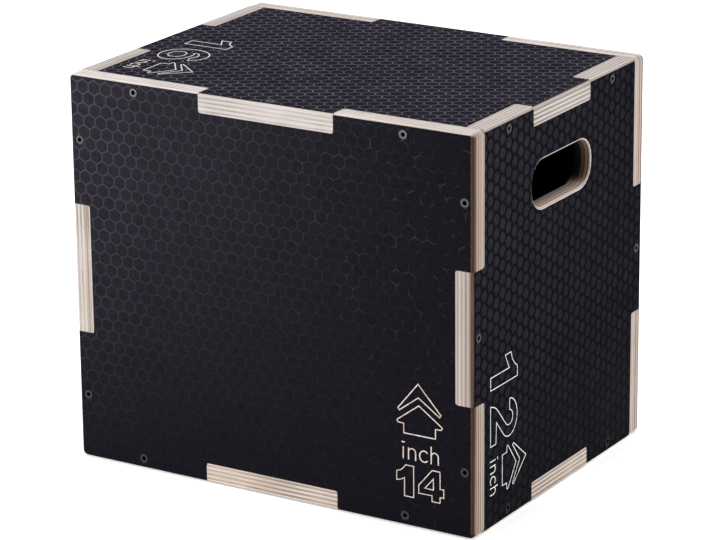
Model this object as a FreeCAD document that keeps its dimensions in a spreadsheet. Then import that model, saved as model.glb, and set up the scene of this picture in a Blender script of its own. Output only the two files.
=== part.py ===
import FreeCAD, Part
import os
import Sketcher

# A plyo box of film-faced plywood: six finger-jointed panels, each a plywood core between an outer
# anti-slip film and an inner smooth film, held by countersunk hex-socket screws.
# The origin is the middle of the footprint on the floor: +X to the right, +Y to the back, +Z up.

Vector = FreeCAD.Vector
Rotation = FreeCAD.Rotation

# Driving dimensions, in millimetres
SIZES = {
    "box_width": 406.4,
    "box_depth": 304.8,
    "box_height": 355.6,
    "ply_thickness": 18,
    "outer_film": 0.5,
    "inner_film": 0.4,
    "finger_width": 135.5,
    "finger_depth": 101.6,
    "finger_height": 118.5,
    "joint_gap": 0.2,
    "corner_radius": 5,
    "cutter_radius": 3,
    "edge_round": 3,
    "slot_length": 104,
    "slot_height": 42,
    "slot_corner": 19,
    "slot_drop": 71.6,
    "slot_round": 3,
    "screw_length": 40,
    "head_diameter": 9.2,
    "head_lip": 0.6,
    "head_taper": 3.5,
    "head_sink": 0.3,
    "shank_diameter": 6.3,
    "shank_length": 14,
    "core_diameter": 4.4,
    "thread_diameter": 6.3,
    "thread_pitch": 3,
    "ridge_width": 1.8,
    "tip_length": 3,
    "socket_width": 4,
    "socket_depth": 4,
    "screw_clearance": 0.1,
    "bore_relief": 1,
}

# Lengths that several pieces share, written as expressions on the sheet
HALF_WIDTH = "Sizes.box_width / 2"
HALF_DEPTH = "Sizes.box_depth / 2"
HALF_HEIGHT = "Sizes.box_height / 2"
PLY = "Sizes.ply_thickness"
HALF_PLY = "Sizes.ply_thickness / 2"
GAP = "Sizes.joint_gap"
HALF_FINGER_WIDTH = "Sizes.finger_width / 2"
HALF_FINGER_DEPTH = "Sizes.finger_depth / 2"
HALF_FINGER_HEIGHT = "Sizes.finger_height / 2"
# Screws stand in the middle of each tooth beside a finger, and in the middle of each finger.
TOOTH_MIDDLE_X = "(Sizes.box_width + Sizes.finger_width) / 4"
TOOTH_MIDDLE_Y = "(Sizes.box_depth - 2 * Sizes.ply_thickness + Sizes.finger_depth) / 4"
TOOTH_MIDDLE_Z = "(Sizes.box_height + Sizes.finger_height) / 4"
EDGE_MIDDLE_X = f"{HALF_WIDTH} - {HALF_PLY}"
EDGE_MIDDLE_Y = f"{HALF_DEPTH} - {HALF_PLY}"
EDGE_MIDDLE_Z = f"{HALF_HEIGHT} - {HALF_PLY}"
SLOT_MIDDLE = f"{HALF_HEIGHT} - Sizes.slot_drop"
HEAD_SLOPE = "(Sizes.head_diameter - Sizes.shank_diameter) / 2 / Sizes.head_taper"
STEM = "max(Sizes.shank_diameter; Sizes.thread_diameter) + 2 * Sizes.screw_clearance"
BORE_DEPTH = "Sizes.screw_length + Sizes.head_sink + Sizes.bore_relief"

# How closely an edge must lie on a plane to count as on it, and how far from an edge its corner is probed
TOLERANCE = 1e-4
PROBE = 0.05

doc = FreeCAD.newDocument("plyo_box")
sheet = doc.addObject("Spreadsheet::Sheet", "Sizes")
for row, (alias, value) in enumerate(SIZES.items(), start=1):
    sheet.set(f"A{row}", alias)
    sheet.set(f"B{row}", str(value))
    sheet.setAlias(f"B{row}", alias)
doc.recompute()


def size(alias):
    return float(sheet.get(alias))


def minus(text):
    return f"-({text})"


def bind_point(piece, path, texts):
    """Tie the x, y and z of a placement's base to expressions."""
    for axis, text in zip("xyz", texts):
        piece.setExpression(f"{path}.Base.{axis}", text)


# Sketches

def new_sketch(body, name, role):
    """An empty sketch on one of the body's own origin planes."""
    plane = next(feature for feature in body.Origin.OriginFeatures if feature.Role == role)
    sketch = body.newObject("Sketcher::SketchObject", name)
    sketch.AttachmentSupport = [(plane, "")]
    sketch.MapMode = "FlatFace"
    return sketch


def hold_point(sketch, geometry, point, place):
    """Fix a point of the sketch by its two distances from the origin."""
    for kind, text in zip(("DistanceX", "DistanceY"), place):
        index = sketch.addConstraint(Sketcher.Constraint(kind, -1, 1, geometry, point, 1.0))
        sketch.setExpression(f"Constraints[{index}]", text)


def draw_outline(sketch, corners):
    """Join the corners with straight lines and close the loop."""
    count = len(corners)
    turn = 360 / count
    ring = [Rotation(Vector(0, 0, 1), turn * step).multVec(Vector(1, 0, 0)) for step in range(count)]
    for step in range(count):
        sketch.addGeometry(Part.LineSegment(ring[step], ring[(step + 1) % count]))
    for step in range(count):
        sketch.addConstraint(Sketcher.Constraint("Coincident", step, 2, (step + 1) % count, 1))
    for step, corner in enumerate(corners):
        hold_point(sketch, step, 1, corner)


def draw_circles(sketch, centres, diameter):
    for centre in centres:
        circle = sketch.addGeometry(Part.Circle(Vector(0, 0, 0), Vector(0, 0, 1), 1.0))
        index = sketch.addConstraint(Sketcher.Constraint("Diameter", circle, 2.0))
        sketch.setExpression(f"Constraints[{index}]", diameter)
        hold_point(sketch, circle, 3, centre)


# Edges picked by where they lie

def at_level(edge, level):
    box = edge.BoundBox
    return abs(box.ZMin - level) < TOLERANCE and abs(box.ZMax - level) < TOLERANCE


def is_arc(edge):
    return isinstance(edge.Curve, Part.Circle)


def is_upright(edge):
    box = edge.BoundBox
    return box.XLength < TOLERANCE and box.YLength < TOLERANCE


def solid_quarters(shape, edge):
    """How many of the four quarters round an upright edge are filled: 3 inside a corner, 1 outside one."""
    middle = edge.CenterOfMass
    around = [Vector(across * PROBE, along * PROBE, 0) for across in (-1, 1) for along in (-1, 1)]
    return sum(shape.isInside(middle + step, TOLERANCE, False) for step in around)


def is_inside_corner(shape, edge):
    return is_upright(edge) and solid_quarters(shape, edge) == 3


def is_box_corner(shape, edge):
    """An upright edge at a corner of the whole panel."""
    if not is_upright(edge):
        return False
    limits = shape.BoundBox
    middle = edge.CenterOfMass
    on_side = abs(abs(middle.x) - limits.XMax) < TOLERANCE
    on_end = abs(abs(middle.y) - limits.YMax) < TOLERANCE
    return on_side and on_end


def is_box_edge(shape, edge):
    """An edge of the outer face that lies along an edge of the box."""
    limits = shape.BoundBox
    box = edge.BoundBox
    on_side = box.XLength < TOLERANCE and abs(abs(box.XMin) - limits.XMax) < TOLERANCE
    on_end = box.YLength < TOLERANCE and abs(abs(box.YMin) - limits.YMax) < TOLERANCE
    return at_level(edge, limits.ZMax) and (on_side or on_end)


def round_edges(body, name, wanted, radius):
    """Fillet the edges of the body so far that the test picks, and those that run on smoothly from them."""
    doc.recompute()
    base = body.Tip
    shape = base.Shape
    names = [f"Edge{number}" for number, edge in enumerate(shape.Edges, start=1) if wanted(shape, edge)]
    fillet = body.newObject("PartDesign::Fillet", name)
    fillet.Base = (base, names)
    fillet.setExpression("Radius", radius)


# Panel blanks: flat on XY with the inner face at z = 0 and the outer face at z = ply_thickness

def panel_outline(corner, reach, half_finger):
    """A panel with its corners at corner and the middle of each edge at reach.

    Where reach is beyond corner the middle is a finger, and where it is short of corner it is a notch.
    """
    corner_x, corner_y = corner
    reach_x, reach_y = reach
    half_x, half_y = half_finger
    quarter = [
        (corner_x, half_y),
        (corner_x, corner_y),
        (half_x, corner_y),
        (half_x, reach_y),
    ]
    right_up = [(reach_x, half_y)] + quarter
    left_up = [(minus(x), y) for x, y in reversed(right_up)]
    left_down = [(minus(x), minus(y)) for x, y in right_up]
    right_down = [(x, minus(y)) for x, y in reversed(right_up)]
    return right_up + left_up + left_down + right_down


def cut_panel(name, corner, reach, half_finger):
    """Saw the outline, with cutter-round inside corners and teeth eased to clear them."""
    body = doc.addObject("PartDesign::Body", name)
    outline = new_sketch(body, f"{name}_outline", "XY_Plane")
    draw_outline(outline, panel_outline(corner, reach, half_finger))
    pad = body.newObject("PartDesign::Pad", f"{name}_pad")
    pad.Profile = outline
    pad.setExpression("Length", PLY)
    round_edges(body, f"{name}_cutter_corners", is_inside_corner, "Sizes.cutter_radius")
    round_edges(
        body,
        f"{name}_eased_teeth",
        lambda shape, edge: is_arc(edge) and at_level(edge, 0),
        "Sizes.cutter_radius",
    )
    return body


def round_box_edges(body):
    round_edges(body, f"{body.Name}_box_edges", is_box_edge, "Sizes.edge_round")


def drill_screw_holes(body, places):
    """Countersunk holes from the outer face right through."""
    doc.recompute()
    sketch = new_sketch(body, f"{body.Name}_hole_centres", "XY_Plane")
    sketch.setExpression("AttachmentOffset.Base.z", PLY)
    draw_circles(sketch, places, STEM)
    doc.recompute()
    hole = body.newObject("PartDesign::Hole", f"{body.Name}_screw_holes")
    hole.Profile = sketch
    hole.Threaded = False
    hole.DepthType = "ThroughAll"
    hole.HoleCutType = "Countersink"
    hole.HoleCutCustomValues = True
    hole.setExpression("Diameter", STEM)
    hole.setExpression("HoleCutCountersinkAngle", f"2 * atan({HEAD_SLOPE})")
    rise = f"(Sizes.head_lip + Sizes.head_sink) * {HEAD_SLOPE}"
    hole.setExpression(
        "HoleCutDiameter",
        f"Sizes.head_diameter + 2 * {rise} + 2 * Sizes.screw_clearance",
    )


def drill_edge_bore(body, name, place, turn):
    """A bore into the panel's edge, in mid-thickness, that starts in the outer plane of the box."""
    bore = body.newObject("PartDesign::SubtractiveCylinder", name)
    bore.Placement.Rotation = turn
    bind_point(bore, "Placement", (*place, HALF_PLY))
    bore.setExpression("Radius", f"({STEM}) / 2")
    bore.setExpression("Height", BORE_DEPTH)


INTO_X = {1: Rotation(Vector(0, 1, 0), -90), -1: Rotation(Vector(0, 1, 0), 90)}
INTO_Y = {1: Rotation(Vector(1, 0, 0), 90), -1: Rotation(Vector(1, 0, 0), -90)}


def signed(sign, text):
    return text if sign > 0 else minus(text)


def drill_edge_bores(body, side_edge, side_places, end_edge, end_places):
    """Bores from both side edges, at the heights given, and from both end edges, at the widths given."""
    for sign in (1, -1):
        word = "plus" if sign > 0 else "minus"
        for number, place in enumerate(side_places, start=1):
            spot = (signed(sign, side_edge), place)
            drill_edge_bore(body, f"{body.Name}_bore_{word}_x_{number}", spot, INTO_X[sign])
        for number, place in enumerate(end_places, start=1):
            spot = (place, signed(sign, end_edge))
            drill_edge_bore(body, f"{body.Name}_bore_{word}_y_{number}", spot, INTO_Y[sign])


def both(text):
    return [text, minus(text)]


def four(x, y):
    return [(right, up) for up in both(y) for right in both(x)]


# Front and back share one blank: it owns the corners of the box and is notched for every finger.
FACE_SCREWS = four(TOOTH_MIDDLE_X, EDGE_MIDDLE_Z) + four(EDGE_MIDDLE_X, TOOTH_MIDDLE_Z)
face_blank = cut_panel(
    "face_blank",
    (HALF_WIDTH, HALF_HEIGHT),
    (f"{HALF_WIDTH} - {PLY} - {GAP}", f"{HALF_HEIGHT} - {PLY} - {GAP}"),
    (f"{HALF_FINGER_WIDTH} + {GAP}", f"{HALF_FINGER_HEIGHT} + {GAP}"),
)
round_edges(face_blank, "face_blank_corners", is_box_corner, "Sizes.corner_radius")
round_box_edges(face_blank)
drill_screw_holes(face_blank, FACE_SCREWS)
drill_edge_bores(face_blank, HALF_WIDTH, ["0"], HALF_HEIGHT, ["0"])

# Left and right share one blank: fingers to the front and back, notches above and below, a hand slot.
SIDE_SCREWS = four(TOOTH_MIDDLE_Y, EDGE_MIDDLE_Z) + [(place, "0") for place in both(EDGE_MIDDLE_Y)]
side_blank = cut_panel(
    "side_blank",
    (f"{HALF_DEPTH} - {PLY} - {GAP}", HALF_HEIGHT),
    (HALF_DEPTH, f"{HALF_HEIGHT} - {PLY} - {GAP}"),
    (f"{HALF_FINGER_DEPTH} + {GAP}", HALF_FINGER_HEIGHT),
)
round_box_edges(side_blank)


def is_in_slot(edge):
    box = edge.BoundBox
    half_length = size("slot_length") / 2 + TOLERANCE
    middle = size("box_height") / 2 - size("slot_drop")
    half_height = size("slot_height") / 2 + TOLERANCE
    in_length = max(abs(box.XMin), abs(box.XMax)) < half_length
    in_height = max(abs(box.YMin - middle), abs(box.YMax - middle)) < half_height
    return in_length and in_height


def cut_hand_slot(body):
    """A long hole with large round corners and a rim rounded over on both faces."""
    doc.recompute()
    sketch = new_sketch(body, "hand_slot_outline", "XY_Plane")
    sketch.setExpression("AttachmentOffset.Base.z", PLY)
    half_length = "Sizes.slot_length / 2"
    high = f"{SLOT_MIDDLE} + Sizes.slot_height / 2"
    low = f"{SLOT_MIDDLE} - Sizes.slot_height / 2"
    draw_outline(
        sketch,
        [
            (half_length, low),
            (half_length, high),
            (minus(half_length), high),
            (minus(half_length), low),
        ],
    )
    pocket = body.newObject("PartDesign::Pocket", "hand_slot")
    pocket.Profile = sketch
    pocket.Type = "ThroughAll"
    round_edges(body, "hand_slot_corners", is_inside_corner, "Sizes.slot_corner")
    round_edges(
        body,
        "hand_slot_rim",
        lambda shape, edge: is_arc(edge) and is_in_slot(edge),
        "Sizes.slot_round",
    )


cut_hand_slot(side_blank)
drill_screw_holes(side_blank, SIDE_SCREWS)
drill_edge_bores(side_blank, HALF_DEPTH, both(TOOTH_MIDDLE_Z), HALF_HEIGHT, ["0"])

# Top and bottom share one blank: a finger through the middle of every wall.
CAP_SCREWS = [("0", place) for place in both(EDGE_MIDDLE_Y)] + [(place, "0") for place in both(EDGE_MIDDLE_X)]
cap_blank = cut_panel(
    "cap_blank",
    (f"{HALF_WIDTH} - {PLY} - {GAP}", f"{HALF_DEPTH} - {PLY} - {GAP}"),
    (HALF_WIDTH, HALF_DEPTH),
    (HALF_FINGER_WIDTH, HALF_FINGER_DEPTH),
)
round_box_edges(cap_blank)
drill_screw_holes(cap_blank, CAP_SCREWS)
drill_edge_bores(cap_blank, HALF_WIDTH, both(TOOTH_MIDDLE_Y), HALF_DEPTH, both(TOOTH_MIDDLE_X))


# Layers: each panel is sliced into its core and its two films

def layer(name, low, thickness):
    """A slab wider than any panel, between two levels of the panel's thickness."""
    slab = doc.addObject("Part::Box", name)
    spread = "Sizes.box_width + Sizes.box_depth + Sizes.box_height"
    slab.setExpression("Length", spread)
    slab.setExpression("Width", spread)
    slab.setExpression("Height", thickness)
    bind_point(slab, "Placement", (f"-({spread}) / 2", f"-({spread}) / 2", low))
    return slab


LAYERS = {
    "panel": layer("core_layer", "Sizes.inner_film", f"{PLY} - Sizes.inner_film - Sizes.outer_film"),
    "outer_film": layer("outer_film_layer", f"{PLY} - Sizes.outer_film", "Sizes.outer_film"),
    "inner_film": layer("inner_film_layer", "0", "Sizes.inner_film"),
}

ON_EDGE = Rotation(Vector(1, 0, 0), 90)


def standing(turn):
    """Stand a panel on its edge and turn it about the upright axis."""
    return Rotation(Vector(0, 0, 1), turn) * ON_EDGE


# Each wall: its blank, how it is turned, and where the middle of its inner face lies
WALLS = {
    "front": (face_blank, standing(0), ("0", f"{PLY} - {HALF_DEPTH}", HALF_HEIGHT)),
    "back": (face_blank, standing(180), ("0", f"{HALF_DEPTH} - {PLY}", HALF_HEIGHT)),
    "right": (side_blank, standing(90), (f"{HALF_WIDTH} - {PLY}", "0", HALF_HEIGHT)),
    "left": (side_blank, standing(-90), (f"{PLY} - {HALF_WIDTH}", "0", HALF_HEIGHT)),
    "top": (cap_blank, Rotation(), ("0", "0", f"Sizes.box_height - {PLY}")),
    "bottom": (cap_blank, Rotation(Vector(1, 0, 0), 180), ("0", "0", PLY)),
}

# The screws of each wall, named by where they are on its outer face as seen from outside
FACE_WORDS = ["top_right", "top_left", "bottom_right", "bottom_left"]
FACE_WORDS += ["right_upper", "left_upper", "right_lower", "left_lower"]
SIDE_WORDS = ["top_right", "top_left", "bottom_right", "bottom_left", "right_middle", "left_middle"]
SCREWS = {
    "front": dict(zip(FACE_WORDS, FACE_SCREWS)),
    "back": dict(zip(FACE_WORDS, FACE_SCREWS)),
    "right": dict(zip(SIDE_WORDS, SIDE_SCREWS)),
    "left": dict(zip(SIDE_WORDS, SIDE_SCREWS)),
    "top": dict(zip(["back", "front", "right", "left"], CAP_SCREWS)),
    "bottom": dict(zip(["front", "back", "right", "left"], CAP_SCREWS)),
}


# Screw blank: turned about Z with the top of its head at z = 0

def turn_profile(body, name, corners):
    """Revolve an outline of (radius, height) corners about Z."""
    sketch = new_sketch(body, f"{name}_profile", "XZ_Plane")
    draw_outline(sketch, corners)
    turned = body.newObject("PartDesign::Revolution", name)
    turned.Profile = sketch
    turned.ReferenceAxis = (sketch, ["V_Axis"])
    turned.Angle = 360
    return turned


def make_screw_blank():
    """Head, taper, plain shank, threaded core with a row of ridges, and a point."""
    body = doc.addObject("PartDesign::Body", "screw_blank")
    head = "Sizes.head_diameter / 2"
    shank = "Sizes.shank_diameter / 2"
    core = "Sizes.core_diameter / 2"
    crest = "Sizes.thread_diameter / 2"
    turn_profile(
        body,
        "screw_stem",
        [
            ("0", "0"),
            (head, "0"),
            (head, "-Sizes.head_lip"),
            (shank, "-Sizes.head_lip - Sizes.head_taper"),
            (shank, "-Sizes.shank_length"),
            (core, "-Sizes.shank_length"),
            (core, "Sizes.tip_length - Sizes.screw_length"),
            ("0", "-Sizes.screw_length"),
        ],
    )
    doc.recompute()
    first = "-Sizes.shank_length - Sizes.thread_pitch"
    ridge = turn_profile(
        body,
        "thread_ridge",
        [
            ("0", first),
            (core, first),
            (crest, f"{first} - Sizes.ridge_width / 2"),
            (core, f"{first} - Sizes.ridge_width"),
            ("0", f"{first} - Sizes.ridge_width"),
        ],
    )
    doc.recompute()
    rows = body.newObject("PartDesign::LinearPattern", "thread_ridges")
    rows.Originals = [ridge]
    rows.Direction = (ridge.Profile[0], ["V_Axis"])
    rows.Reversed = True
    rows.Mode = "Spacing"
    rows.setExpression("Offset", "Sizes.thread_pitch")
    threaded = "Sizes.screw_length - Sizes.shank_length - Sizes.tip_length"
    rows.setExpression("Occurrences", f"max(floor(({threaded}) / Sizes.thread_pitch) - 1; 1)")
    body.Tip = rows
    return body


def make_socket():
    """The hexagonal prism that is broached out of each head."""
    socket = doc.addObject("Part::Prism", "hex_socket")
    socket.Polygon = 6
    socket.setExpression("Circumradius", "Sizes.socket_width / 2 / cos(30 deg)")
    socket.setExpression("Height", "2 * Sizes.socket_depth")
    socket.setExpression("Placement.Base.z", "-Sizes.socket_depth")
    return socket


screw_blank = make_screw_blank()
hex_socket = make_socket()


# Sub-parts

def add_layers(wall, blank, turn, base):
    """The core and the two films of one wall."""
    pieces = []
    for word, slab in LAYERS.items():
        piece = doc.addObject("Part::Common", f"{wall}_{word}")
        piece.Base = blank
        piece.Tool = slab
        piece.Placement.Rotation = turn
        bind_point(piece, "Placement", base)
        pieces.append(piece)
    return pieces


def add_screw(wall, word, place):
    """One screw, its head just below the outer face of the wall."""
    screw = doc.addObject("Part::Cut", f"{wall}_screw_{word}")
    screw.Base = screw_blank
    screw.Tool = hex_socket
    across, up = place
    spot = f"vector({across}; {up}; {PLY} - Sizes.head_sink)"
    screw.setExpression(
        "Placement",
        f"{wall}_panel.Placement * placement({spot}; rotation(vector(0; 0; 1); 0))",
    )
    return screw


subparts = []
for wall, (blank, turn, base) in WALLS.items():
    subparts += add_layers(wall, blank, turn, base)
    subparts += [add_screw(wall, word, place) for word, place in SCREWS[wall].items()]
doc.recompute()

for item in doc.Objects:
    if "Invalid" in item.State or "Error" in item.State:
        raise RuntimeError(f"{item.Label} failed to recompute")
for piece in subparts:
    if piece.Shape.isNull() or not piece.Shape.isValid() or len(piece.Shape.Solids) != 1:
        raise RuntimeError(f"{piece.Label} is not one sound solid")

os.makedirs("parts", exist_ok=True)
for piece in subparts:
    piece.Shape.exportStep(f"parts/{piece.Label}.step")
print(len(subparts), "sub-parts")
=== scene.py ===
import math
from collections import namedtuple

import bmesh
import bpy
from mathutils import Matrix, Vector


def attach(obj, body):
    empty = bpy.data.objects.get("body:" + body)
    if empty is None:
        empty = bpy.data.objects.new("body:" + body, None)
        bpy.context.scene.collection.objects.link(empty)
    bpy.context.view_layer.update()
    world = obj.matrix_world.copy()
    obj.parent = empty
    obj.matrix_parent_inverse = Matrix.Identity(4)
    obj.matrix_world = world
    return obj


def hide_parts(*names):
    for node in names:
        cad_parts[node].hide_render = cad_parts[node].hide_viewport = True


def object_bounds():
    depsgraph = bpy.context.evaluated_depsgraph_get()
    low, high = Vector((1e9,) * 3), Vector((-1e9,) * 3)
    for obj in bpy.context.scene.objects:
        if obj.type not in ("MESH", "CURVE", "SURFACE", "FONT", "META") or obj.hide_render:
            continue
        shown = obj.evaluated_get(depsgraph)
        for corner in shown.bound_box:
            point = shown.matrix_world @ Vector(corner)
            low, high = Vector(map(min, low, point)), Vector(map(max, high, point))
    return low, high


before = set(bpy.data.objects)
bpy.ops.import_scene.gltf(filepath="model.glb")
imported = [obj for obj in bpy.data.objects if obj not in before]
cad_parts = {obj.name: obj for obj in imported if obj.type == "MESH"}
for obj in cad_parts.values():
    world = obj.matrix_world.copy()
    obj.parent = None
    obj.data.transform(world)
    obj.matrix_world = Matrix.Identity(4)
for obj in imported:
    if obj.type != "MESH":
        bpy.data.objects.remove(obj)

# The looks of the plyo box: embossed outer films with cut marks, bare plywood edges, smooth inner films and
# blackened screws. Lengths are in millimetres where a name, a comment or a docstring says so, and in metres
# everywhere else.

MM = 0.001
cad_low, cad_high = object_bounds()
WIDTH, DEPTH, HEIGHT = cad_high - cad_low

# Walls: the directions to the right, up and outwards as seen from outside, and the middle of the outer face
Wall = namedtuple("Wall", "across up out place")
X = Vector((1, 0, 0))
Y = Vector((0, 1, 0))
Z = Vector((0, 0, 1))
MIDDLE = Vector((0, 0, HEIGHT / 2))
WALLS = {
    "front": Wall(X, Z, -Y, MIDDLE - Y * DEPTH / 2),
    "back": Wall(-X, Z, Y, MIDDLE + Y * DEPTH / 2),
    "right": Wall(Y, Z, X, MIDDLE + X * WIDTH / 2),
    "left": Wall(-Y, Z, -X, MIDDLE - X * WIDTH / 2),
    "top": Wall(X, Y, Z, MIDDLE + Z * HEIGHT / 2),
    "bottom": Wall(X, -Y, -Z, MIDDLE - Z * HEIGHT / 2),
}
# The walls that the photo doesn't show, and the walls that they look like
LIKE = {"back": "front", "left": "right", "bottom": "top"}


def looks_like(wall):
    """The wall in the photo that a wall looks like: front, right or top."""
    return LIKE.get(wall, wall)


def wall_matrix(wall):
    """From a wall's own across, up and outward lengths to the frame."""
    facing = WALLS[wall]
    turn = Matrix((facing.across, facing.up, facing.out)).transposed().to_4x4()
    return Matrix.Translation(facing.place) @ turn


def half_size(wall):
    """Half the width and half the height of a wall, in millimetres."""
    size = Vector((WIDTH, DEPTH, HEIGHT)) / 2 / MM
    return abs(WALLS[wall].across.dot(size)), abs(WALLS[wall].up.dot(size))


# Node trees

# The part of a noise's range that most of its values lie in
NOISE_SPAN = (0.3, 0.7)
FINE_GRAIN = 0.0002
COARSE_GRAIN = 0.0003
# The colour sockets of a mix node
MIX_FIRST = 6
MIX_SECOND = 7
MIX_RESULT = 2


class Tree:
    """A material with short calls for the nodes that every finish here is made of."""

    def __init__(self, name):
        self.material = bpy.data.materials.new(name)
        self.material.use_nodes = True
        self.nodes = self.material.node_tree.nodes
        self.links = self.material.node_tree.links
        self.shader = self.nodes["Principled BSDF"]
        self.place = self.nodes.new("ShaderNodeTexCoord").outputs["Object"]

    def feed(self, socket, value):
        """Link a node's output to a socket, or set a constant on it."""
        if isinstance(value, bpy.types.NodeSocket):
            self.links.new(value, socket)
        else:
            socket.default_value = value

    def math(self, operation, *values):
        node = self.nodes.new("ShaderNodeMath")
        node.operation = operation
        for socket, value in zip(node.inputs, values):
            self.feed(socket, value)
        return node.outputs[0]

    def times(self, first, *others):
        """The product of numbers."""
        for other in others:
            first = self.math("MULTIPLY", first, other)
        return first

    def vector(self, operation, *values):
        """A number for a dot product or a length, and a vector for any other operation."""
        node = self.nodes.new("ShaderNodeVectorMath")
        node.operation = operation
        for socket, value in zip(node.inputs, values):
            self.feed(socket, value)
        return node.outputs["Value" if operation in ("DOT_PRODUCT", "LENGTH") else "Vector"]

    def ramp(self, value, start, end, low=0.0, high=1.0):
        """A smooth step from low to high as value goes from start to end."""
        node = self.nodes.new("ShaderNodeMapRange")
        node.interpolation_type = "SMOOTHSTEP"
        for socket, number in zip(node.inputs, (value, start, end, low, high)):
            self.feed(socket, number)
        return node.outputs[0]

    def along(self, direction, origin):
        """How far a point lies from origin along direction, in millimetres."""
        return self.vector("DOT_PRODUCT", self.vector("SUBTRACT", self.place, origin), direction / MM)

    def noise(self, scale, detail=3.0, stretch=(1, 1, 1)):
        """Noise from 0 to 1 with scale cells a metre, times stretch along each axis."""
        squeeze = self.nodes.new("ShaderNodeMapping")
        squeeze.inputs["Scale"].default_value = stretch
        self.feed(squeeze.inputs["Vector"], self.place)
        node = self.nodes.new("ShaderNodeTexNoise")
        node.inputs["Scale"].default_value = scale
        node.inputs["Detail"].default_value = detail
        self.feed(node.inputs["Vector"], squeeze.outputs[0])
        return node.outputs["Fac"]

    def mix(self, amount, first, second):
        """A colour between first and second."""
        node = self.nodes.new("ShaderNodeMix")
        node.data_type = "RGBA"
        self.feed(node.inputs[0], amount)
        self.feed(node.inputs[MIX_FIRST], first)
        self.feed(node.inputs[MIX_SECOND], second)
        return node.outputs[MIX_RESULT]

    def blend(self, noise, pair):
        """Two colours in the pattern of a noise."""
        return self.mix(self.ramp(noise, *NOISE_SPAN), *pair)

    def tint(self, base, colour, value, start, end, amount=1.0):
        """base, which turns into colour by amount as value goes from start to end."""
        return self.mix(self.ramp(value, start, end, high=amount), base, colour)

    def bump(self, height, strength, distance):
        node = self.nodes.new("ShaderNodeBump")
        node.inputs["Strength"].default_value = strength
        node.inputs["Distance"].default_value = distance
        self.feed(node.inputs["Height"], height)
        self.links.new(node.outputs[0], self.shader.inputs["Normal"])

    def finish(self, colour, roughness, specular):
        self.feed(self.shader.inputs["Base Color"], colour)
        self.feed(self.shader.inputs["Roughness"], roughness)
        self.shader.inputs["Specular IOR Level"].default_value = specular
        return self.material


class WallTree(Tree):
    """A material for pieces of one wall, with the place of a point on that wall in millimetres."""

    def __init__(self, wall, name):
        super().__init__(f"{wall}_{name}")
        self.wall = wall
        self.pair = looks_like(wall)
        self.facing = WALLS[wall]
        self.half_across, self.half_up = half_size(wall)
        self.beside = self.along(self.facing.across, self.facing.place)
        self.above = self.along(self.facing.up, self.facing.place)
        self.height = self.along(self.facing.out, self.facing.place)
        self.depth = self.times(self.height, -1.0)


def stretched(direction, along, beside):
    """A noise's stretch: along on the axis of direction, and beside on the other two."""
    return [along if abs(number) > 0.5 else beside for number in direction]


def rgb(red, green, blue):
    """A linear colour from eight-bit display values."""
    def linear(value):
        part = value / 255
        return part / 12.92 if part <= 0.04045 else ((part + 0.055) / 1.055) ** 2.4
    return (linear(red), linear(green), linear(blue), 1.0)


def dress(data, material):
    """Give a mesh one finish."""
    data.materials.clear()
    data.materials.append(material)


# Embossed film: widths from the middle of a ridge, and levels from the wall's face outwards

HEX_PITCH_MM = 12.2
HEX_ROW_MM = 10.3
RIDGE_SHOULDER_MM = 0.58
RIDGE_FOOT_MM = 1.08
PILLOW_MM = 2.4
CREST_LEVEL_MM = -0.02
SHOULDER_LEVEL_MM = -0.05
FOOT_LEVEL_MM = -0.3
PILLOW_LEVEL_MM = -0.2
FILM_MM = 0.5
# Levels between which the colour turns from cell to ridge, from the painted shade of a groove to cell, and to
# that of the cut edge
RIDGE_SPAN_MM = (PILLOW_LEVEL_MM + 0.02, SHOULDER_LEVEL_MM)
GROOVE_SPAN_MM = (FOOT_LEVEL_MM, FOOT_LEVEL_MM + 0.07)
CUT_EDGE_SPAN_MM = (FOOT_LEVEL_MM - 0.04, FOOT_LEVEL_MM - 0.14)
# Corners of a hexagon cell, in pitches and rows
HEX_CORNERS = [(0, 2 / 3), (0.5, 1 / 3), (0.5, -1 / 3), (0, -2 / 3), (-0.5, -1 / 3), (-0.5, 1 / 3)]
# How far a honeycomb is shifted across and up, in millimetres, and whether its neighbours follow upwards
HONEYCOMBS = {
    "front": ((-5.8, 2.7), False),
    "right": ((-0.6, 4.0), True),
    "top": ((-0.7, 1.5), True),
}

# Cell and ridge colours of each wall, lit and shaded copies of one film: ridges in painted highlight on the
# front and top and in painted shade on the sides. First where the film is darkest, and second where the mask
# of painted light and scuff patches is full
FILM_LIT_AND_SHADED_COLOURS = {
    "front": ((rgb(15, 14, 20), rgb(39, 37, 43)), (rgb(18, 17, 23), rgb(64, 61, 70))),
    "right": ((rgb(14, 13, 17), rgb(43, 42, 50)), (rgb(9, 8, 14), rgb(1, 0, 7))),
    "top": ((rgb(20, 18, 28), rgb(28, 26, 36)), (rgb(65, 62, 71), rgb(79, 76, 85))),
}
CELL_DUST = rgb(46, 44, 51)
CELL_STAIN = rgb(10, 10, 12)
RIDGE_PIT = rgb(12, 11, 14)
# Painted shade of the sides' grooves and upper ridges
SIDE_RIDGE_SHADE = rgb(1, 0, 7)
# Painted glints on the front's ridges
FRONT_PAINTED_GLINT = rgb(50, 49, 56)
CUT_EDGE = rgb(38, 28, 22)
# Least and greatest roughness of the film, and what a ridge adds to it
FILM_ROUGHNESS = (0.5, 0.62)
RIDGE_ROUGHNESS = -0.2
FILM_GLOSS = 0.005
# Where the painted light towards the upper left begins and is full, leftwards and upwards, in halves of the
# box from the middle of a wall
PAINTED_LIGHT_LEFTWARDS = (1.35, -1.2)
PAINTED_LIGHT_UPWARDS = (-1.5, 1.2)
# How far patches add to that, and how strong it is on the sides and on the front
SCUFF_PATCHES = 0.2
SIDE_PAINTED_LIGHT = 0.8
FRONT_PAINTED_LIGHT = 0.9


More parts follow.
